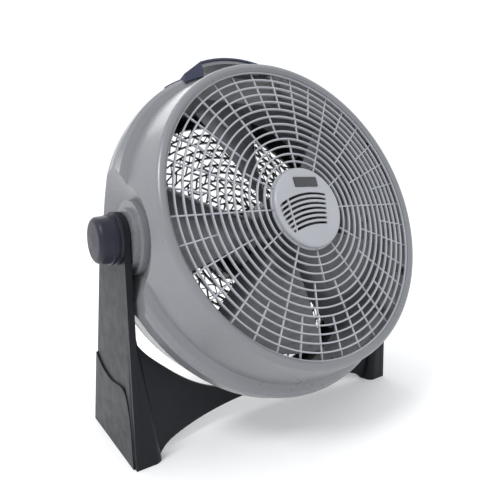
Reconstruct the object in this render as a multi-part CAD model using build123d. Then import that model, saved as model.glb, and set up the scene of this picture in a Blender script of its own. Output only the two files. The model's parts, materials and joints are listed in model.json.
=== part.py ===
"""Tilting floor air circulator: a round drum head with an axial fan, held in a U-shaped yoke.

The head is modelled about its tilt pivot, with +Z out of the front face, and then placed on the yoke.
The yoke is modelled upright, with X along the pivot axis and the floor at Z = 0.
"""
import os
from math import asin, cos, degrees, radians, sin

from build123d import *

# ---------------------------------------------------------------- driving dimensions, millimetres
FACE_TILT = 22.8          # rest angle of the front face above horizontal, degrees
PIVOT_HEIGHT = 326.0      # tilt axis above the floor
PIVOT_Y = -9.3            # tilt axis from the middle of the whole depth
WALL = 3.0                # moulded wall

GRILLE_OPENING_R = 228.6  # an 18 inch opening
LIP_R = 242.0
LIP_Z = 97.3
SEAM_R = 257.6
SEAM_Z = 27.0
DRUM_R = 277.0
BAND_REAR_Z = -20.0      # rear end of the drum's widest band
DRUM_REAR_Z = -84.0
SHELL_REAR_Z = -112.0
SHELL_REAR_R = 249.0
SIDE_FLAT_X = 254.0       # the drum is flattened beside the legs
SCOOP_X = 241.0           # floor of the shallow dish about each pivot boss
SCOOP_R = 52.0
SCOOP_RIM = (112.0, 264.0)  # radius and distance out of the dish's rim
EAR_LOW_Y = 60.0          # above this the drum keeps its full round
BOSS_STEPS = ((52.0, 250.0), (42.0, 257.0))   # radius, outer face
POCKET_FLOOR_Y = 246.0    # hand pocket under the handle
POCKET_HALF = 84.0
POCKET_Z = (-20.0, 44.0)
HANDLE_Z = (-12.0, 28.0)
HANDLE_ARCH_R = 214.4     # outer arc of the grip
HANDLE_ARCH_Y = 81.6
HANDLE_BLOCK_X = (86.0, 121.0)
HANDLE_SCREW_ANGLE = 21.5

RING_PITCH = 12.7
FIRST_RING_R = 76.9
RING_COUNT = 12
GRILLE_Z = (88.0, 92.0)
GRILLE_RIB = 2.3
HUB_R = 64.0

GUARD_Z = (-109.0, -105.0)
GUARD_RIM_R = 244.0
GUARD_RIB = 2.6
GUARD_PITCH = 15.0

BLADE_COUNT = 5
BLADE_TIP_R = 214.0
BLADE_ROOT_R = 44.0
BLADE_MID_Z = 8.0
BLADE_PHASE = 32.0

SHAFT_R = 4.0
RUN_GAP = 0.05
MOTOR_R = 49.0
MOTOR_Z = (-105.0, -40.0)
MOTOR_SPLIT_Z = -72.0

LEG_OUTER_X = 271.0
LEG_INNER_X = 259.0
BOLT_R = 4.0
KNOB_R = 35.0
KNOB_X = (268.8, 300.0)
SCREW_R = 1.6

HEAD = Plane(
    origin=(0, PIVOT_Y, PIVOT_HEIGHT),
    x_dir=(1, 0, 0),
    z_dir=(0, -cos(radians(FACE_TILT)), sin(radians(FACE_TILT))),
)
YOKE = Pos(0, PIVOT_Y, 0)
SIDES = {"left": -1, "right": 1}


# ---------------------------------------------------------------- helpers
def polar(radius, angle):
    """Point at a radius and an angle in degrees."""
    return (radius * cos(radians(angle)), radius * sin(radians(angle)))


def revolved(*points):
    """Solid of revolution about Z from (radius, height) corners."""
    return revolve(Plane.XZ * Polygon(*points, align=None), axis=Axis.Z)


def tube(outer_r, inner_r, low, high):
    """Round tube about Z."""
    return revolved((inner_r, low), (outer_r, low), (outer_r, high), (inner_r, high))


def disc(radius, low, high, x=0.0, y=0.0):
    """Cylinder along Z between two heights."""
    return Pos(x, y, low) * extrude(Circle(radius), amount=high - low)


def cross_disc(radius, x_in, x_out, side=1):
    """Cylinder along X between two distances from the middle."""
    plane = Plane(origin=(side * x_in, 0, 0), x_dir=(0, 1, 0), z_dir=(side, 0, 0))
    return extrude(plane * Circle(radius), amount=x_out - x_in)


def cross_revolved(side, *points):
    """Solid of revolution about X from (radius, distance from the middle) corners."""
    corners = [(side * distance, radius) for radius, distance in points]
    return revolve(Plane.XZ * Polygon(*corners, align=None), axis=Axis.X)


def slab(x_low, x_high, y_low, y_high, z_low, z_high):
    """Box from its corners."""
    centre = ((x_low + x_high) / 2, (y_low + y_high) / 2, (z_low + z_high) / 2)
    return Pos(*centre) * Box(x_high - x_low, y_high - y_low, z_high - z_low)


def around(count, start, radius):
    """Points evenly round the head's axis."""
    return [polar(radius, start + i * 360 / count) for i in range(count)]


def window(low_r, high_r, start, stop, rib, slant):
    """Outline of one opening between two rings and two ribs; slant turns its outer end."""
    low_gap = degrees(asin(rib / 2 / low_r))
    high_gap = degrees(asin(rib / 2 / high_r))
    corner_a = polar(low_r, start + low_gap)
    corner_b = polar(low_r, stop - low_gap)
    corner_c = polar(high_r, stop - high_gap + slant)
    corner_d = polar(high_r, start + high_gap + slant)
    low_middle = polar(low_r, (start + stop) / 2)
    high_middle = polar(high_r, (start + stop) / 2 + slant)
    return Wire([
        Edge.make_three_point_arc(corner_a, low_middle, corner_b),
        Edge.make_line(corner_b, corner_c),
        Edge.make_three_point_arc(corner_c, high_middle, corner_d),
        Edge.make_line(corner_d, corner_a),
    ])


def slotted_disc(rim_r, bands, rib, low, high, bore_r):
    """Flat disc cut through by bands of windows: (low radius, high radius, rib count, slant)."""
    holes = [Wire.make_circle(bore_r)]
    for low_r, high_r, count, slant in bands:
        step = 360 / count
        for i in range(count):
            holes.append(window(low_r, high_r, i * step, (i + 1) * step, rib, slant))
    face = Face(Wire.make_circle(rim_r), holes)
    return Pos(0, 0, low) * Solid.extrude(face, Vector(0, 0, high - low))


def screws(points, head_z, tip_z, head_r=3.4, head_t=2.4, shank_r=SCREW_R - 0.05):
    """Pan-head screws along Z, their heads facing away from their tips."""
    away = 1 if head_z > tip_z else -1
    group = []
    for x, y in points:
        shank = disc(shank_r, min(head_z, tip_z), max(head_z, tip_z), x, y)
        top = head_z + away * head_t
        cap = disc(head_r, min(head_z, top), max(head_z, top), x, y)
        slot = Pos(x, y, top) * Box(head_r * 1.3, 0.8, 1.6)
        group.append(shank + cap - slot)
    return Compound(group)


# ---------------------------------------------------------------- head shells
def head_body(inset):
    """The head's closed outer form, or its cavity when inset by the wall."""
    profile = Polyline(
        (0, LIP_Z - inset * 1.7), (LIP_R - 9 - inset, LIP_Z - inset * 1.7),
    ) + ThreePointArc(
        (LIP_R - 9 - inset, LIP_Z - inset * 1.7),
        (LIP_R - 2.6 - inset, LIP_Z - 1.9 - inset * 1.2),
        (LIP_R - inset, LIP_Z - 6 - inset * 0.7),
    ) + Polyline(
        (LIP_R - inset, LIP_Z - 6 - inset * 0.7),
        (SEAM_R - inset, SEAM_Z - inset * 0.4),
        (DRUM_R - 8 - inset, SEAM_Z - 4 - inset),
        (DRUM_R - 2 - inset, SEAM_Z - 9 - inset),
        (DRUM_R - inset, SEAM_Z - 15 - inset),
        (DRUM_R - inset, BAND_REAR_Z + 8),
        (DRUM_R - 2 - inset, BAND_REAR_Z),
        (SHELL_REAR_R + 4 - inset, SHELL_REAR_Z + 12),
        (SHELL_REAR_R - inset, SHELL_REAR_Z + inset),
        (0, SHELL_REAR_Z + inset),
        (0, LIP_Z - inset * 1.7),
    )
    body = revolve(Plane.XZ * make_face(profile), axis=Axis.Z)
    flat = SIDE_FLAT_X - inset
    ear_y = EAR_LOW_Y + inset
    for side in SIDES.values():
        low_x, high_x = sorted((side * flat, side * 2 * DRUM_R))
        body -= slab(low_x, high_x, -2 * DRUM_R, ear_y, -2 * DRUM_R, 2 * DRUM_R)
        rim_r, rim_x = SCOOP_RIM
        body -= cross_revolved(side, (0, SCOOP_X - inset), (SCOOP_R, SCOOP_X - inset),
                               (rim_r, rim_x - inset), (rim_r, DRUM_R + 9), (0, DRUM_R + 9))
    half = POCKET_HALF + inset
    low, high = POCKET_Z
    body -= slab(-half, half, POCKET_FLOOR_Y - inset, DRUM_R + 9, low - inset, high + inset)
    return body


def head_shells():
    """Front ring, drum and rear shell, cut from one thin-walled form."""
    outer = head_body(0)
    shell = outer - head_body(WALL)
    shell -= disc(GRILLE_OPENING_R, 60, LIP_Z + 5)
    shell -= revolved((0, LIP_Z - 4), (GRILLE_OPENING_R, LIP_Z - 4), (GRILLE_OPENING_R + 5, LIP_Z + 1),
                      (0, LIP_Z + 1))
    shell -= disc(GUARD_RIM_R - 8, SHELL_REAR_Z - 5, GUARD_Z[0] + 1)
    cuts = {
        "front_ring": (SEAM_Z, LIP_Z + 9),
        "drum_housing": (DRUM_REAR_Z, SEAM_Z),
        "rear_shell": (SHELL_REAR_Z - 9, DRUM_REAR_Z),
    }
    parts = {}
    for name, (low, high) in cuts.items():
        parts[name] = shell & slab(-400, 400, -400, 400, low, high)
    boss_r = BOSS_STEPS[0][0]
    for side in SIDES.values():
        for name in ("front_ring", "rear_shell"):
            parts[name] -= cross_disc(boss_r + 0.2, SCOOP_X, DRUM_R, side)
        for radius, face_x in BOSS_STEPS:
            parts["drum_housing"] += cross_disc(radius, SCOOP_X, face_x, side)
        parts["drum_housing"] -= cross_disc(BOLT_R + RUN_GAP, SCOOP_X - 20, DRUM_R, side)
    return parts, outer


def lugs(outer, low, high, count, start, inner_r, hole_r):
    """Screw lugs standing in from a shell's wall, kept inside the outer form."""
    group = []
    for i in range(count):
        angle = start + i * 360 / count
        lug = slab(inner_r, DRUM_R, -6, 6, low, high)
        hole = disc(hole_r, low - 1, high + 1, inner_r + 6, 0)
        group.append((Rot(0, 0, angle) * (lug - hole)) & outer)
    return group


def radial_rod(radius, low_r, high_r, angle, height):
    """Cylinder pointing out from the head's axis, at an angle either side of straight up."""
    plane = Plane(origin=(0, low_r, height), x_dir=(1, 0, 0), z_dir=(0, 1, 0))
    return Rot(0, 0, angle) * extrude(plane * Circle(radius), amount=high_r - low_r)


def handle_parts(outer):
    """Dark grip cap with its end blocks, the grey arch under it, and two screws into the blocks."""
    low, high = HANDLE_Z
    near, far = HANDLE_BLOCK_X
    arch = Pos(0, HANDLE_ARCH_Y, 0)
    cap = arch * tube(HANDLE_ARCH_R, HANDLE_ARCH_R - 3.5, low, high)
    cap &= slab(-near, near, 150, 320, low, high)
    core = arch * tube(HANDLE_ARCH_R - 3.7, HANDLE_ARCH_R - 10, low + 2, high - 2)
    core &= slab(2.3 - near, near - 2.3, 150, 320, low, high)
    block = Polygon((near - 2, 279.4), (near - 2, 262), (near, 230), (far, 230), (far, 251), align=None)
    block = Pos(0, 0, low) * extrude(block, amount=high - low)
    block -= disc(DRUM_R - 11, low - 1, high + 1)
    strip = tube(DRUM_R + 1.6, DRUM_R - 8, low + 2, 12) & slab(far - 1, far + 30, 150, 320, low, high)
    grip = cap
    head_seat = DRUM_R - WALL - 0.1
    screws_in = []
    for turn in (1, -1):
        end = block + strip
        if turn < 0:
            end = mirror(end, Plane.YZ)
        angle = -turn * HANDLE_SCREW_ANGLE
        grip += (end - outer) - radial_rod(SCREW_R, DRUM_R - 5, DRUM_R + 8, angle, 0)
        shank = radial_rod(SCREW_R - 0.05, head_seat, DRUM_R + 7, angle, 0)
        screws_in.append(shank + radial_rod(3.4, head_seat - 2.4, head_seat, angle, 0))
    return grip, core, Compound(screws_in)


def handle_screw_holes():
    """Clearance holes through the drum under the handle's end blocks."""
    group = []
    for turn in (1, -1):
        group.append(radial_rod(SCREW_R + 0.1, DRUM_R - 8, DRUM_R + 4, -turn * HANDLE_SCREW_ANGLE, 0))
    return group


# ---------------------------------------------------------------- grilles and hub cap
def front_grille():
    """Rings on twelve, eighteen and then thirty-six spokes, with a solid centre ring."""
    rings = [FIRST_RING_R + i * RING_PITCH for i in range(RING_COUNT)]
    edges = [HUB_R + 1] + rings + [GRILLE_OPENING_R - 0.6]
    half = GRILLE_RIB / 2
    bands = []
    for i in range(len(edges) - 1):
        low_r = edges[i] + (half if i else 0)
        high_r = edges[i + 1] - (half if i < RING_COUNT else 0)
        count = 12 if i < 4 else 18 if i < 8 else 36
        bands.append((low_r, high_r, count, 0))
    low, high = GRILLE_Z
    grille = slotted_disc(LIP_R - WALL - 4.5, bands, GRILLE_RIB, low, high, HUB_R - 12)
    for x, y in around(6, 30, 231.2):
        grille += disc(3.2, low - 14, low, x, y)
        grille -= disc(SCREW_R, low - 15, high - 1.5, x, y)
    return grille


def hub_cap():
    """Domed cap with seven arched louvre slots, each broken by one short rib."""
    top = LIP_Z + 3
    base = GRILLE_Z[1]
    dome = Polyline((0, base - 3), (HUB_R - 12.2, base - 3), (HUB_R - 12.2, base), (HUB_R, base),
                    (HUB_R, top - 4.5)) + ThreePointArc(
        (HUB_R, top - 4.5), (HUB_R - 1.4, top - 1.4), (HUB_R - 5, top)) + Spline(
        (HUB_R - 5, top), (HUB_R / 2, top + 1.3), (0, top + 1.8), tangents=((-1, 0.08), (-1, 0)),
    ) + Line((0, top + 1.8), (0, base - 3))
    cap = revolve(Plane.XZ * make_face(dome), axis=Axis.Z)
    cap -= disc(HUB_R - 16, base - 4, top - 2.4)
    arch_r = 136.0
    centre_x = 10.0
    for i in range(7):
        centre_y = 20.3 - arch_r - i * 7.8
        slot = tube(arch_r + 2.0, arch_r - 2.0, top - 6, top + 4)
        slot = Pos(centre_x, centre_y, 0) * slot
        right = 38.0 - i * 1.9
        keep = disc(HUB_R - 7, top - 6, top + 4) & slab(-HUB_R, right, -HUB_R, HUB_R, top - 6, top + 4)
        rib_x = -HUB_R + 24 + 0.5 * i
        slot = (slot & keep) - slab(rib_x - 1, rib_x + 1, -HUB_R, HUB_R, top - 7, top + 5)
        cap -= slot
    plate_seat = slab(-20.2, 25.8, 31.2, 46.8, top + 0.4, top + 5)
    return cap - plate_seat


def badge_plate():
    """Blank plate on the cap."""
    top = LIP_Z + 3
    return Pos(2.8, 39, top + 1.4) * extrude(RectangleRounded(45.6, 15.2, 1.5), amount=2 / 2, both=True)


def rear_guard():
    """Black back grille: rings joined by ribs that slant one way and then the other."""
    inner = 66.0
    count = int((GUARD_RIM_R - 8 - inner) // GUARD_PITCH)
    pitch = (GUARD_RIM_R - 8 - inner) / count
    bands = []
    for i in range(count):
        low_r = inner + i * pitch + GUARD_RIB / 2
        high_r = inner + (i + 1) * pitch - GUARD_RIB / 2
        ribs = 24 if i < 3 else 36 if i < 7 else 48
        slant = (1 if i % 2 else -1) * 0.55 * 360 / ribs
        bands.append((low_r, high_r, ribs, slant))
    low, high = GUARD_Z
    guard = slotted_disc(GUARD_RIM_R, bands, GUARD_RIB, low, high, 12)
    for x, y in around(4, 45, 38):
        guard -= disc(SCREW_R + 0.1, low - 1, high + 1, x, y)
    for x, y in around(3, 90, 58):
        guard -= disc(SCREW_R, low - 1, high + 1, x, y)
    for x, y in around(6, 0, GUARD_RIM_R - 4):
        guard -= disc(SCREW_R, low - 1, high + 1, x, y)
    return guard


# ---------------------------------------------------------------- motor
def motor():
    """Shaded case halves, stator, rotor, shaft and bearings, all about Z."""
    low, high = MOTOR_Z
    parts = {}
    rear = tube(MOTOR_R, MOTOR_R - 2.5, low, MOTOR_SPLIT_Z) + tube(MOTOR_R, 11.1, low, low + 2.5)
    rear += tube(14, 11.1, low, low + 8)
    for x, y in around(4, 45, 38):
        rear -= disc(SCREW_R, low - 1, low + 4, x, y)
    parts["motor_rear_shell"] = rear
    front = tube(MOTOR_R, MOTOR_R - 2.5, MOTOR_SPLIT_Z, high) + tube(MOTOR_R, 11.1, high - 2.5, high)
    parts["motor_front_shell"] = front + tube(14, 11.1, high - 8, high)
    core = tube(MOTOR_R - 2.5, 26.5, MOTOR_SPLIT_Z - 13, MOTOR_SPLIT_Z + 13)
    for x, y in around(8, 0, 33):
        core -= disc(3.5, MOTOR_SPLIT_Z - 14, MOTOR_SPLIT_Z + 14, x, y)
    parts["stator_core"] = core
    coils = [disc(3.4, MOTOR_SPLIT_Z - 14, MOTOR_SPLIT_Z + 14, x, y) for x, y in around(8, 0, 33)]
    for end in (-1, 1):
        near = MOTOR_SPLIT_Z + end * 13.2
        far = MOTOR_SPLIT_Z + end * 21
        coils.append(tube(42, 28, min(near, far), max(near, far)))
    winding = coils[0]
    for coil in coils[1:]:
        winding += coil
    parts["stator_windings"] = winding
    parts["rotor"] = tube(26, SHAFT_R + 0.01, MOTOR_SPLIT_Z - 14, MOTOR_SPLIT_Z + 14)
    shaft = disc(SHAFT_R, low + 1, 40)
    shaft -= slab(-1.05, 1.05, -9, 9, -31.05, -28.95)
    parts["motor_shaft"] = shaft
    parts["rear_bearing"] = tube(11.05, SHAFT_R + RUN_GAP, low + 1, low + 8)
    parts["front_bearing"] = tube(11.05, SHAFT_R + RUN_GAP, high - 8, high - 1)
    parts["motor_screws"] = screws(around(4, 45, 38), GUARD_Z[0], low + 3)
    return parts


# ---------------------------------------------------------------- fan
def blade_section(radius, chord, pitch, camber, thickness):
    """Cambered section facing outwards along X at one radius."""
    half = chord / 2
    edge = 0.8
    outline = ThreePointArc((-half, edge), (0, camber + thickness / 2), (half, edge))
    outline += Line((half, edge), (half, -edge))
    outline += ThreePointArc((half, -edge), (0, camber - thickness / 2), (-half, -edge))
    outline += Line((-half, -edge), (-half, edge))
    plane = Plane(origin=(radius, 0, BLADE_MID_Z), x_dir=(0, 1, 0), z_dir=(1, 0, 0))
    return plane * Rot(0, 0, pitch) * make_face(outline)


def impeller():
    """Hub cup with wide twisted blades."""
    sections = (
        blade_section(BLADE_ROOT_R - 6, 58, 46, 3, 5),
        blade_section(95, 104, 36, 8, 4.5),
        blade_section(155, 152, 28, 12, 4),
        blade_section(BLADE_TIP_R + 12, 196, 22, 14, 3.4),
    )
    blade = loft(Sketch() + list(sections))
    blade &= tube(BLADE_TIP_R, BLADE_ROOT_R - 3, -80, 90)
    low, high = -34.0, 40.0
    hub = disc(BLADE_ROOT_R, low, high) - disc(BLADE_ROOT_R - 3, low - 1, high - 4)
    hub += disc(11, low + 2, high)
    hub -= disc(SHAFT_R + 0.02, low - 1, high + 1)
    hub -= slab(-1.1, 1.1, -9.2, 9.2, low, -28.9)
    fan = hub
    for i in range(BLADE_COUNT):
        fan += Rot(0, 0, BLADE_PHASE + i * 360 / BLADE_COUNT) * blade
    return fan


def fan_parts():
    """Impeller, its drive pin and the nut on the shaft's end."""
    pin_plane = Plane(origin=(0, -9, -30), x_dir=(1, 0, 0), z_dir=(0, 1, 0))
    pin = extrude(pin_plane * Circle(1), amount=18)
    nut = Pos(0, 0, 40) * extrude(RegularPolygon(11, 6), amount=9)
    return {"impeller": impeller(), "drive_pin": pin, "fan_nut": nut}


# ---------------------------------------------------------------- controls at the back
def controls():
    """Rear cover with its rotary switch, knob, capacitor, terminal block and cord gland."""
    base = GUARD_Z[0]
    back = base - 38
    outer = revolved((0, base), (64, base), (62, back + 8), (54, back), (0, back))
    inner = revolved((0, base + 1), (61, base + 1), (59.2, back + 9), (52.5, back + WALL), (0, back + WALL))
    cover = outer - inner
    for x, y in around(3, 90, 58):
        post = disc(4.5, back + 10, base, x, y) & outer
        cover += post
        cover -= disc(SCREW_R + 0.1, back - 1, base + 1, x, y)
        cover -= disc(4, back - 1, back + 12, x, y)
    cover -= disc(5.1, back - 1, back + 5)
    gland_z = base - 16
    gland_plane = Plane(origin=(0, -56, gland_z), x_dir=(1, 0, 0), z_dir=(0, -1, 0))
    cover -= extrude(gland_plane * Circle(6), amount=12)
    gland = extrude(gland_plane * Circle(5.9), amount=16)
    gland += Pos(0, -0.5, 0) * extrude(gland_plane * Circle(8), amount=2.3)
    gland += Pos(0, -8.3, 0) * extrude(gland_plane * Circle(8), amount=3.5)
    gland -= Pos(0, 4, 0) * extrude(gland_plane * Circle(3.4), amount=24)
    shaft = disc(3, back - 14, back + 8)
    switch = Pos(0, 0, back + 14.1) * Box(30, 26, 12) - disc(3 + RUN_GAP, back + 8, back + 22)
    switch += tube(5, 3 + RUN_GAP, back + 3.1, back + 8.1)
    shaft += disc(3, back + 8, back + 18)
    knob = revolved((0, back - 3.5), (20, back - 3.5), (20, back - 7), (18, back - 19), (16.5, back - 20.5),
                    (0, back - 20.5))
    knob -= disc(3.02, back - 15, back - 3)
    knob += slab(-2.5, 2.5, -17, 17, back - 26, back - 20.4)
    return {
        "rear_cover": cover,
        "cord_gland": gland,
        "rotary_switch": switch,
        "switch_shaft": shaft,
        "speed_knob": knob,
        "run_capacitor": Pos(33, 0, base - 14) * Box(17, 36, 24),
        "terminal_block": Pos(-33, 0, base - 10) * Box(14, 32, 16),
        "cover_screws": screws(around(3, 90, 58), back + 12, GUARD_Z[1] - 1),
    }


# ---------------------------------------------------------------- pivots
def pivot_parts(side):
    """One side's bolt, friction washer, knob and threaded insert."""
    head_x = SCOOP_X - WALL
    bolt = cross_disc(BOLT_R, head_x, 292, side)
    hexagon = Plane(origin=(side * head_x, 0, 0), x_dir=(0, 1, 0), z_dir=(-side, 0, 0)) * RegularPolygon(8, 6)
    bolt += extrude(hexagon, amount=6)
    face_x = BOSS_STEPS[1][1]
    washer = cross_disc(20, face_x, LEG_INNER_X - 0.3, side)
    washer -= cross_disc(BOLT_R + 0.1, face_x - 1, LEG_INNER_X, side)
    low, high = KNOB_X
    shape = Polyline(
        (0, low), (KNOB_R, low), (KNOB_R, low + 4), (KNOB_R - 2.5, low + 4.6), (KNOB_R - 2.5, low + 6.8),
        (KNOB_R - 0.8, low + 7.4), (KNOB_R - 0.8, low + 11), (KNOB_R - 2.5, low + 11.6),
        (KNOB_R - 3.5, high - 8),
    ) + ThreePointArc(
        (KNOB_R - 3.5, high - 8), (KNOB_R - 5.8, high - 3), (KNOB_R - 11, high - 0.8),
    ) + Polyline((KNOB_R - 11, high - 0.8), (0, high), (0, low))
    plane = Plane(origin=(0, 0, 0), x_dir=(0, 0, 1), z_dir=(0, side, 0))
    knob = revolve(plane * make_face(shape), axis=Axis.X)
    knob -= cross_disc(7, low - 1, high - 8, side)
    insert = cross_disc(7, low + 0.5, high - 8, side) - cross_disc(BOLT_R + RUN_GAP, low, high - 7, side)
    return bolt, washer, knob, insert


# ---------------------------------------------------------------- stand
def leg(side):
    """One leg: tapering side plate with a round top, a raised lower panel and a deep front foot."""
    top = PIVOT_HEIGHT + 36
    outline = Polyline((-39, 0), (-29, PIVOT_HEIGHT - 4))
    outline += ThreePointArc((-29, PIVOT_HEIGHT - 4), (-19, top - 10), (4, top))
    outline += ThreePointArc((4, top), (46, top - 12), (70, PIVOT_HEIGHT - 10))
    outline += Polyline((70, PIVOT_HEIGHT - 10), (143, 0), (-39, 0))
    across = Plane(origin=(0, 0, 0), x_dir=(0, 1, 0), z_dir=(1, 0, 0))
    profile = across * make_face(outline)
    plate = Pos(LEG_INNER_X, 0, 0) * extrude(profile, amount=LEG_OUTER_X - 2.5 - LEG_INNER_X)
    panel_line = Line((-32, 0), (-30, 20))
    panel_line += Spline((-30, 20), (-24, 80), (-8, 109), (30, 108), (78, 112), (112.8, 130))
    panel_line += Polyline((112.8, 130), (143, 0), (-32, 0))
    panel = across * make_face(panel_line)
    plate += Pos(LEG_OUTER_X - 2.6, 0, 0) * extrude(panel, amount=2.6)
    foot_low = Plane.XY * Pos(248.5, -19, 0) * RectangleRounded(45, 40, 14)
    foot_high = Plane.XY.offset(205) * Pos(263.8, -22, 0) * RectangleRounded(9, 18, 4)
    foot = loft(Sketch() + [foot_low, foot_high])
    solid = plate + foot
    solid -= cross_disc(BOLT_R + 0.1, LEG_INNER_X - 5, LEG_OUTER_X + 5).moved(Location((0, 0, PIVOT_HEIGHT)))
    return solid if side > 0 else mirror(solid, Plane.YZ)


def web():
    """Bowed wall between the legs, with an arched lower edge and a top edge that clears the drum."""
    half = 262.0
    bow = 50.0
    front_y = -33.0
    thickness = 6.0
    outer = ThreePointArc((-half, front_y), (0, front_y + bow), (half, front_y))
    back_y = front_y + thickness
    inner = ThreePointArc((half, back_y), (0, back_y + bow), (-half, back_y))
    ends = Line((half, front_y), (half, back_y)) + Line((-half, back_y), (-half, front_y))
    band = extrude(make_face(outer + inner + ends), amount=220)
    right = [(0, 43), (90, 57), (165, 96), (212, 135), (244, 166), (half, 190)]
    left = [(-x, z) for x, z in reversed(right[1:])]
    top = Spline(*(left + right))
    low_right = [(60, 28), (132, 24), (188, 17), (214, 9), (224, 0)]
    arch = [(-x, z) for x, z in reversed(low_right)] + [(0, 29)] + low_right
    under = Polyline((half, 190), (half, 0), (224, 0)) + Spline(*arch) + Polyline(
        (-224, 0), (-half, 0), (-half, 190))
    front = Plane(origin=(0, -80, 0), x_dir=(1, 0, 0), z_dir=(0, -1, 0)) * make_face(top + under)
    return band & extrude(front, amount=-200)


def stand():
    """Yoke in one moulding, with its four rubber pads."""
    yoke = leg(1) + leg(-1) + web()
    pads = []
    for side in (-1, 1):
        for y in (-19, 118):
            x = side * (249 if y < 0 else 265)
            radius = 9 if y < 0 else 4.5
            yoke -= disc(radius, -1, 2, x, y)
            pads.append(disc(radius, 0, 2, x, y))
    return yoke, Compound(pads)


# ---------------------------------------------------------------- assembly
def build():
    """Every node, by name, in its final place."""
    shells, outer = head_shells()
    grille_lugs = lugs(outer, GRILLE_Z[0] - 18, GRILLE_Z[0] - 14, 6, 30, 225.2, SCREW_R + 0.2)
    seam_lugs = lugs(outer, SEAM_Z, SEAM_Z + 4, 4, 45, 238, SCREW_R)
    drum_lugs = lugs(outer, SEAM_Z - 5, SEAM_Z, 4, 45, 238, SCREW_R + 0.2)
    rear_lugs = lugs(outer, DRUM_REAR_Z - 5, DRUM_REAR_Z, 4, 45, 236, SCREW_R + 0.2)
    back_lugs = lugs(outer, DRUM_REAR_Z, DRUM_REAR_Z + 5, 4, 45, 236, SCREW_R)
    for lug in grille_lugs + seam_lugs:
        shells["front_ring"] += lug
    for lug in drum_lugs + back_lugs:
        shells["drum_housing"] += lug
    for lug in rear_lugs:
        shells["rear_shell"] += lug
    for x, y in around(6, 0, GUARD_RIM_R - 4):
        shells["rear_shell"] -= disc(SCREW_R + 0.2, SHELL_REAR_Z - 1, GUARD_Z[0] + 1, x, y)
    for hole in handle_screw_holes():
        shells["drum_housing"] -= hole
    grip, core, handle_screws = handle_parts(outer)

    head_nodes = dict(shells)
    head_nodes["carry_handle"] = grip
    head_nodes["handle_core"] = core
    head_nodes["handle_screws"] = handle_screws
    head_nodes["front_grille"] = front_grille()
    head_nodes["hub_cap"] = hub_cap()
    head_nodes["badge_plate"] = badge_plate()
    head_nodes["rear_guard"] = rear_guard()
    head_nodes["grille_screws"] = screws(around(6, 30, 231.2), GRILLE_Z[0] - 18, GRILLE_Z[0] - 2)
    head_nodes["seam_screws"] = screws(around(4, 45, 244), SEAM_Z - 5, SEAM_Z + 4)
    head_nodes["shell_screws"] = screws(around(4, 45, 242), DRUM_REAR_Z - 5, DRUM_REAR_Z + 5)
    head_nodes["guard_screws"] = screws(around(6, 0, GUARD_RIM_R - 4), SHELL_REAR_Z, GUARD_Z[1] - 0.5)
    head_nodes.update(motor())
    head_nodes.update(fan_parts())
    head_nodes.update(controls())

    nodes = {}
    for name, side in SIDES.items():
        bolt, washer, knob, insert = pivot_parts(side)
        head_nodes[f"{name}_pivot_bolt"] = bolt
        head_nodes[f"{name}_friction_washer"] = washer
        nodes[f"{name}_tilt_knob"] = Pos(0, PIVOT_Y, PIVOT_HEIGHT) * knob
        nodes[f"{name}_knob_insert"] = Pos(0, PIVOT_Y, PIVOT_HEIGHT) * insert
    for name, part in head_nodes.items():
        nodes[name] = HEAD * part
    yoke, pads = stand()
    nodes["stand_yoke"] = YOKE * yoke
    nodes["rubber_feet"] = YOKE * pads
    return nodes


os.makedirs("parts", exist_ok=True)
for node, shape in build().items():
    export_step(shape, f"parts/{node}.step")
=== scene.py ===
"""Looks of the tilting floor air circulator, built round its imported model."""

import json
from math import cos, pi, radians, sin, tau

import bmesh
import bpy
from mathutils import Matrix, Vector


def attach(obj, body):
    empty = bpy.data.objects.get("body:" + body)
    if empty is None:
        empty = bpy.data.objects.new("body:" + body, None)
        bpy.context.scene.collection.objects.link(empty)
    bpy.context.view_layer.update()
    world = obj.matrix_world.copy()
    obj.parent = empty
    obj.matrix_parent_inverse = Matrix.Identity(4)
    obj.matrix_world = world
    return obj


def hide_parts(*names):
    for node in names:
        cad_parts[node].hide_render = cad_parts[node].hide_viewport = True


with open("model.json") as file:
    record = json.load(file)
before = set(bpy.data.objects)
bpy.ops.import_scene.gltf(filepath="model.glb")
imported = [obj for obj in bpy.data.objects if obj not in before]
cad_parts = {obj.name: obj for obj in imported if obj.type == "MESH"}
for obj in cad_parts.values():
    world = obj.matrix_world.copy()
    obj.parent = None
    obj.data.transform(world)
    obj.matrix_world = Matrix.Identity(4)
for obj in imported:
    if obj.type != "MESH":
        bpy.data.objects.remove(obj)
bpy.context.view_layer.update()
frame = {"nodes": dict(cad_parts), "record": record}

# ---------------------------------------------------------------- places, from the frame
JOINTS = {joint["name"]: joint for joint in frame["record"]["behaviour"]["joints"]}
PIVOT = Vector(JOINTS["head_tilt"]["pos_m"])
FRONT = Vector(JOINTS["fan_spin"]["axis"]).normalized()
ACROSS = Vector((1, 0, 0))
UP = FRONT.cross(ACROSS)
HEAD = Matrix.Translation(PIVOT) @ Matrix((ACROSS, UP, FRONT)).transposed().to_4x4()
MM = 0.001

FACE = 94 * MM                 # grille face in front of the pivot
CAP_R = 64 * MM
OPENING_R = 228.6 * MM
RIM_R = 234 * MM
FIRST_RING_R = 76.9 * MM
RING_PITCH = 12.7 * MM
RING_COUNT = 12
RING_WIDTH = 2.5 * MM
RING_DEPTH = 4.6 * MM
SPOKE_WIDTH = 2.1 * MM
SPOKE_DEPTH = 3.4 * MM
DOME_FALL = 4.4 * MM           # how far the grille's rim lies behind its middle
RING_STEPS = 180

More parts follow.
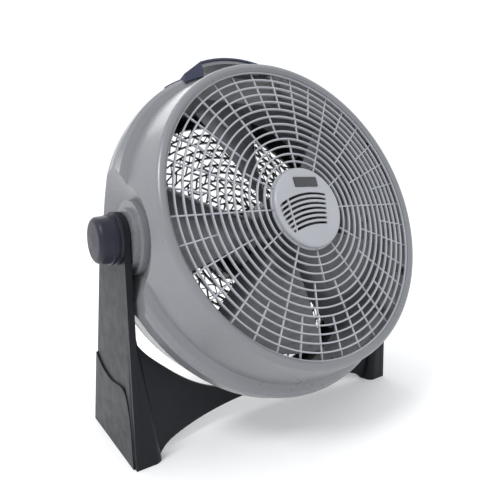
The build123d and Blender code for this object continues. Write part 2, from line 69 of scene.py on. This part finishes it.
EDGE_RADIUS = 0.8 * MM        # how far moulded edges look rounded
GUARD_INNER_R = 66 * MM
GUARD_OUTER_R = 236 * MM
GUARD_BACK = -110.2 * MM       # middle of the second, crossing layer of guard ribs
GUARD_RIB = 1.8 * MM
GUARD_ROUND = 0.4 * MM
GUARD_BANDS = 11
GUARD_SLANT = 0.55             # share of the rib spacing that a rib crosses in one band
GUARD_STEPS = 96
# size and place of the black disc inside the hub cap that paints the shade seen through its louvres
SHADE_DISC_R = 46 * MM
SHADE_DISC_HOLE_R = 1 * MM
SHADE_DISC_Z = FACE + 0.5 * MM
SHADE_DISC_THICKNESS = 1.2 * MM
SHADE_DISC_STEPS = 72

CAMERA_OFFSET = Vector((-0.476, -0.513, 0.047))   # from the middle of the grille face
CAMERA_HEADING = -35.7
CAMERA_PITCH = -10.0
LENS = 32.7
SHIFT_Y = 0.013

FLOOR_SIZE = 400.0             # so wide that the horizon can't be told from the white surroundings
FLOOR_Z = -0.0005


# ---------------------------------------------------------------- mesh helpers
def new_piece(name, mesh, body, material):
    """Object from a bmesh, riding on a body."""
    data = bpy.data.meshes.new(name)
    mesh.to_mesh(data)
    mesh.free()
    for face in data.polygons:
        face.use_smooth = True
    piece = bpy.data.objects.new(name, data)
    bpy.context.scene.collection.objects.link(piece)
    piece.data.materials.append(material)
    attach(piece, body)
    return piece


def section_points(width, depth, round_r, steps=3):
    """Rounded rectangle, counter-clockwise, about its middle."""
    points = []
    for corner in range(4):
        turn = corner * pi / 2
        sign_x = 1 if corner in (0, 3) else -1
        sign_y = 1 if corner in (0, 1) else -1
        centre = (sign_x * (width / 2 - round_r), sign_y * (depth / 2 - round_r))
        for i in range(steps + 1):
            angle = turn + i * pi / 2 / steps
            points.append((centre[0] + round_r * cos(angle), centre[1] + round_r * sin(angle)))
    return points


def add_loft(mesh, loops, closed):
    """Quads between rows of points, with end caps when the row isn't closed."""
    rows = [[mesh.verts.new(point) for point in loop] for loop in loops]
    count = len(rows[0])
    pairs = list(zip(rows, rows[1:]))
    if closed:
        pairs.append((rows[-1], rows[0]))
    for low, high in pairs:
        for i in range(count):
            j = (i + 1) % count
            mesh.faces.new((low[i], low[j], high[j], high[i]))
    if not closed:
        mesh.faces.new(list(reversed(rows[0])))
        mesh.faces.new(rows[-1])


def add_ring(mesh, radius, height, section, steps=RING_STEPS):
    """Ring about the head's axis with a section of (radial, forward) points."""
    loops = []
    for i in range(steps):
        angle = tau * i / steps
        loops.append([
            HEAD @ Vector(((radius + x) * cos(angle), (radius + x) * sin(angle), height + y))
            for x, y in section
        ])
    add_loft(mesh, loops, True)


def face_height(radius):
    """Height of the slightly domed grille face at a radius."""
    share = radius / OPENING_R
    return FACE - DOME_FALL * share * share


# ---------------------------------------------------------------- materials
def node_material(name):
    """Empty node material with its shader."""
    material = bpy.data.materials.new(name)
    material.use_nodes = True
    nodes = material.node_tree.nodes
    return material, nodes, material.node_tree.links, nodes["Principled BSDF"]


def noise(nodes, links, scale, detail, coordinates):
    """Noise texture in object space."""
    texture = nodes.new("ShaderNodeTexNoise")
    texture.inputs["Scale"].default_value = scale
    texture.inputs["Detail"].default_value = detail
    links.new(coordinates.outputs["Object"], texture.inputs["Vector"])
    return texture


def spread(nodes, links, source, low, high):
    """Maps a 0 to 1 value onto a narrow range."""
    node = nodes.new("ShaderNodeMapRange")
    node.inputs["From Min"].default_value = 0.3
    node.inputs["From Max"].default_value = 0.7
    node.inputs["To Min"].default_value = low
    node.inputs["To Max"].default_value = high
    links.new(source, node.inputs["Value"])
    return node.outputs["Result"]


def edge_mask(nodes, links, radius):
    """Rounded-edge normal, and a value that is 1 on edges and 0 on flats."""
    bevel = nodes.new("ShaderNodeBevel")
    bevel.samples = 4
    bevel.inputs["Radius"].default_value = radius
    geometry = nodes.new("ShaderNodeNewGeometry")
    dot = nodes.new("ShaderNodeVectorMath")
    dot.operation = "DOT_PRODUCT"
    links.new(bevel.outputs["Normal"], dot.inputs[0])
    links.new(geometry.outputs["Normal"], dot.inputs[1])
    mask = nodes.new("ShaderNodeMapRange")
    mask.inputs["From Min"].default_value = 0.995
    mask.inputs["From Max"].default_value = 0.9
    links.new(dot.outputs["Value"], mask.inputs["Value"])
    return bevel.outputs["Normal"], mask.outputs["Result"]


def plastic(name, colour, roughness, grain=900.0, depth=0.03, tone=0.05, coat=0.0, gloss=0.5, wear=0.16):
    """Moulded plastic: flow mottling, mould grain, uneven gloss, and edges rubbed a little paler."""
    material, nodes, links, shader = node_material(name)
    coordinates = nodes.new("ShaderNodeTexCoord")
    flow = noise(nodes, links, 9.0, 3.0, coordinates)
    grain_noise = noise(nodes, links, grain, 2.0, coordinates)
    scuff = noise(nodes, links, 55.0, 6.0, coordinates)
    soft_normal, edges = edge_mask(nodes, links, EDGE_RADIUS)
    mix = nodes.new("ShaderNodeMix")
    mix.data_type = "RGBA"
    mix.inputs["A"].default_value = (*[channel * (1 - tone) for channel in colour], 1)
    mix.inputs["B"].default_value = (*[min(1.0, channel * (1 + tone)) for channel in colour], 1)
    links.new(spread(nodes, links, flow.outputs["Fac"], 0.0, 1.0), mix.inputs["Factor"])
    rubbed = nodes.new("ShaderNodeMix")
    rubbed.data_type = "RGBA"
    rubbed.inputs["B"].default_value = (*[min(1.0, channel * 1.5 + 0.02) for channel in colour], 1)
    amount = nodes.new("ShaderNodeMath")
    amount.operation = "MULTIPLY"
    links.new(edges, amount.inputs[0])
    links.new(spread(nodes, links, scuff.outputs["Fac"], wear * 0.4, wear * 1.6), amount.inputs[1])
    links.new(amount.outputs["Value"], rubbed.inputs["Factor"])
    links.new(mix.outputs["Result"], rubbed.inputs["A"])
    links.new(rubbed.outputs["Result"], shader.inputs["Base Color"])
    links.new(spread(nodes, links, scuff.outputs["Fac"], roughness - 0.04, roughness + 0.06),
              shader.inputs["Roughness"])
    bump = nodes.new("ShaderNodeBump")
    bump.inputs["Strength"].default_value = depth
    bump.inputs["Distance"].default_value = 0.001
    links.new(grain_noise.outputs["Fac"], bump.inputs["Height"])
    links.new(soft_normal, bump.inputs["Normal"])
    links.new(bump.outputs["Normal"], shader.inputs["Normal"])
    shader.inputs["Coat Weight"].default_value = coat
    shader.inputs["Coat Roughness"].default_value = 0.18
    shader.inputs["Specular IOR Level"].default_value = gloss
    return material


def metal(name, colour, roughness, brushed=400.0):
    """Plated or machined metal with fine brushing."""
    material, nodes, links, shader = node_material(name)
    coordinates = nodes.new("ShaderNodeTexCoord")
    brush = noise(nodes, links, brushed, 4.0, coordinates)
    stain = noise(nodes, links, 30.0, 3.0, coordinates)
    mix = nodes.new("ShaderNodeMix")
    mix.data_type = "RGBA"
    mix.inputs["A"].default_value = (*[channel * 0.85 for channel in colour], 1)
    mix.inputs["B"].default_value = (*colour, 1)
    links.new(stain.outputs["Fac"], mix.inputs["Factor"])
    links.new(mix.outputs["Result"], shader.inputs["Base Color"])
    links.new(spread(nodes, links, brush.outputs["Fac"], roughness - 0.08, roughness + 0.08),
              shader.inputs["Roughness"])
    shader.inputs["Metallic"].default_value = 1.0
    bump = nodes.new("ShaderNodeBump")
    bump.inputs["Strength"].default_value = 0.05
    bump.inputs["Distance"].default_value = 0.0005
    links.new(brush.outputs["Fac"], bump.inputs["Height"])
    links.new(bump.outputs["Normal"], shader.inputs["Normal"])
    return material


def display(red, green, blue):
    """Linear colour from display values out of 255."""
    return [((value / 255 + 0.055) / 1.055) ** 2.4 for value in (red, green, blue)]


MATERIALS = {
    "housing_grey": plastic("housing_grey", display(112, 114, 118), 0.3, depth=0.02, coat=0.25, wear=0.03),
    "grille_grey": plastic("grille_grey", display(158, 160, 166), 0.34, depth=0.02, coat=0.2),
    "cap_grey": plastic("cap_grey", display(154, 156, 161), 0.38, depth=0.02, coat=0.2),
    "badge_dark": plastic("badge_dark", display(30, 31, 36), 0.25, depth=0.01, coat=0.5),
    "guard_black": plastic("guard_black", display(22, 23, 26), 0.45, depth=0.05),
    "handle_blue": plastic("handle_blue", display(48, 52, 74), 0.5, grain=1400.0, depth=0.12, gloss=0.35),
    "stand_slate": plastic("stand_slate", display(20, 22, 28), 0.4, grain=1300.0, depth=0.06,
                           gloss=0.2, wear=0.06),
    "knob_slate": plastic("knob_slate", display(27, 29, 42), 0.4, grain=1300.0, depth=0.06,
                          gloss=0.3, wear=0.06),
    "control_grey": plastic("control_grey", display(60, 62, 68), 0.5, depth=0.05),
    "rubber_black": plastic("rubber_black", display(24, 24, 25), 0.8, grain=700.0, depth=0.2),
    "blade_grey": plastic("blade_grey", display(86, 88, 92), 0.16, depth=0.01, coat=0.6),
    "motor_steel": metal("motor_steel", display(130, 132, 134), 0.4),
    "laminated_steel": metal("laminated_steel", display(95, 96, 98), 0.45),
    "copper_wire": metal("copper_wire", display(170, 92, 52), 0.35),
    "brass_insert": metal("brass_insert", display(190, 158, 92), 0.3),
    "electrical_plastic": plastic("electrical_plastic", display(205, 203, 196), 0.5),
    "washer_nylon": plastic("washer_nylon", display(215, 214, 208), 0.5),
    "bright_steel": metal("bright_steel", display(180, 182, 185), 0.3),
}


# ---------------------------------------------------------------- carried-over CAD nodes
def finish_cad_nodes():
    """Gives each CAD node its slot's material."""
    for row in frame["record"]["subparts"]:
        node = frame["nodes"][row["node"]]
        node.data.materials.clear()
        node.data.materials.append(MATERIALS[row["material_slot"]])


# ---------------------------------------------------------------- front grille
def add_spoke(mesh, angle, inner_r, outer_r):
    """Flat rounded bar just behind the rings, following the dome."""
    section = section_points(SPOKE_WIDTH, SPOKE_DEPTH, 0.7 * MM, 2)
    steps = max(2, int((outer_r - inner_r) / (20 * MM)))
    loops = []
    along = Vector((cos(angle), sin(angle), 0))
    sideways = Vector((-sin(angle), cos(angle), 0))
    for i in range(steps + 1):
        radius = inner_r + (outer_r - inner_r) * i / steps
        centre = along * radius + Vector((0, 0, face_height(radius) - 2.6 * MM))
        loops.append([HEAD @ (centre + sideways * x + Vector((0, 0, y))) for x, y in section])
    add_loft(mesh, loops, False)


def build_grille():
    """Domed ring and spoke grille in place of the flat CAD one."""
    mesh = bmesh.new()
    section = section_points(RING_WIDTH, RING_DEPTH, 1.0 * MM)
    rings = [FIRST_RING_R + i * RING_PITCH for i in range(RING_COUNT)]
    for radius in rings:
        add_ring(mesh, radius, face_height(radius) - RING_DEPTH / 2, section)
    add_ring(mesh, CAP_R - 2 * MM, FACE - 4 * MM, section_points(8 * MM, 4 * MM, 1 * MM))
    rim_middle = (OPENING_R + RIM_R) / 2 - 0.7 * MM
    add_ring(mesh, rim_middle, FACE - 4.6 * MM, section_points(7 * MM, 4 * MM, 1 * MM))
    spokes = ((12, CAP_R - 4 * MM, rings[3]), (18, rings[3], rings[7]), (36, rings[7], OPENING_R + 2 * MM))
    for count, inner_r, outer_r in spokes:
        for i in range(count):
            add_spoke(mesh, tau * i / count, inner_r, outer_r)
    bmesh.ops.recalc_face_normals(mesh, faces=mesh.faces)
    grille = new_piece("front_grille_rings", mesh, "head", MATERIALS["grille_grey"])
    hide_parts("front_grille")


# ---------------------------------------------------------------- back guard
def build_guard_ribs():
    """Second layer of guard ribs, crossing the first, so that the back shows a lattice."""
    mesh = bmesh.new()
    pitch = (GUARD_OUTER_R - GUARD_INNER_R) / GUARD_BANDS
    section = section_points(GUARD_RIB, GUARD_RIB, GUARD_ROUND, 1)
    ring_section = section_points(2.2 * MM, 1.6 * MM, GUARD_ROUND, 1)
    for band in range(GUARD_BANDS):
        count = 24 if band < 3 else 36 if band < 7 else 48
        slant = (-1 if band % 2 else 1) * GUARD_SLANT * tau / count
        inner_r = GUARD_INNER_R + band * pitch
        for i in range(count):
            start = Vector((inner_r * cos(tau * i / count), inner_r * sin(tau * i / count), GUARD_BACK))
            turn = tau * i / count + slant
            outer_r = inner_r + pitch
            stop = Vector((outer_r * cos(turn), outer_r * sin(turn), GUARD_BACK))
            sideways = (stop - start).cross(Vector((0, 0, 1))).normalized()
            loops = [[HEAD @ (point + sideways * x + Vector((0, 0, y))) for x, y in section]
                     for point in (start, stop)]
            add_loft(mesh, loops, False)
    for band in range(GUARD_BANDS + 1):
        radius = GUARD_INNER_R + band * pitch
        add_ring(mesh, radius, GUARD_BACK, ring_section, GUARD_STEPS)
    bmesh.ops.recalc_face_normals(mesh, faces=mesh.faces)
    new_piece("rear_guard_lattice", mesh, "head", MATERIALS["guard_black"])


def build_cap_shade_disc():
    """Dark disc inside the hub cap, closing the view through its louvres with painted shade in place of the
    shade inside the cap.
    """
    mesh = bmesh.new()
    corners = ((SHADE_DISC_HOLE_R, SHADE_DISC_Z), (SHADE_DISC_R, SHADE_DISC_Z),
               (SHADE_DISC_R, SHADE_DISC_Z - SHADE_DISC_THICKNESS), (SHADE_DISC_HOLE_R, SHADE_DISC_Z - SHADE_DISC_THICKNESS))
    loops = []
    for radius, height in corners:
        loops.append([
            HEAD @ Vector((radius * cos(tau * i / SHADE_DISC_STEPS), radius * sin(tau * i / SHADE_DISC_STEPS), height))
            for i in range(SHADE_DISC_STEPS)
        ])
    add_loft(mesh, loops, True)
    bmesh.ops.recalc_face_normals(mesh, faces=mesh.faces)
    # the black disc is painted shade behind the cap's louvres, not a real part
    new_piece("cap_painted_shade_disc", mesh, "head", MATERIALS["guard_black"])


# ---------------------------------------------------------------- studio
def build_camera():
    """Low three-quarter camera, left of the front."""
    data = bpy.data.cameras.new("camera")
    data.lens = LENS
    data.sensor_width = 36.0
    data.shift_y = SHIFT_Y
    camera = bpy.data.objects.new("camera", data)
    camera.location = HEAD @ Vector((0, 0, FACE)) + CAMERA_OFFSET
    camera.rotation_euler = (radians(90 + CAMERA_PITCH), 0, radians(CAMERA_HEADING))
    bpy.context.scene.collection.objects.link(camera)
    bpy.context.scene.camera = camera


def add_light(name, place, target, size, power):
    """Large soft area light aimed at a point."""
    data = bpy.data.lights.new(name, "AREA")
    data.shape = "DISK"
    data.size = size
    data.energy = power
    light = bpy.data.objects.new(name, data)
    light.location = place
    light.rotation_euler = (Vector(target) - Vector(place)).to_track_quat("-Z", "Y").to_euler()
    bpy.context.scene.collection.objects.link(light)


def build_studio():
    """Pale floor, white surroundings and soft lights."""
    bpy.ops.mesh.primitive_plane_add(size=FLOOR_SIZE, location=(0, 0, FLOOR_Z))
    floor = bpy.context.object
    floor.name = "floor"
    paper = plastic("floor_paper", (0.93, 0.93, 0.93), 0.8, depth=0.0, tone=0.01, gloss=0.1, wear=0.0)
    floor.data.materials.append(paper)
    glow = paper.node_tree.nodes["Principled BSDF"]
    glow.inputs["Emission Color"].default_value = (1, 1, 1, 1)
    glow.inputs["Emission Strength"].default_value = 0.1
    world = bpy.data.worlds.new("studio")
    world.use_nodes = True
    world.node_tree.nodes["Background"].inputs["Color"].default_value = (0.97, 0.98, 1.0, 1)
    world.node_tree.nodes["Background"].inputs["Strength"].default_value = 1.08
    bpy.context.scene.world = world
    bpy.context.scene.view_settings.view_transform = "Standard"
    middle = (0, 0, 0.3)
    add_light("key", (-1.7, -0.5, 2.1), middle, 0.8, 27)
    add_light("back", (0.2, 2.2, 1.8), middle, 1.6, 8)


finish_cad_nodes()
build_grille()
build_guard_ribs()
# black disc of painted shade inside the hub cap
build_cap_shade_disc()
build_camera()
build_studio()
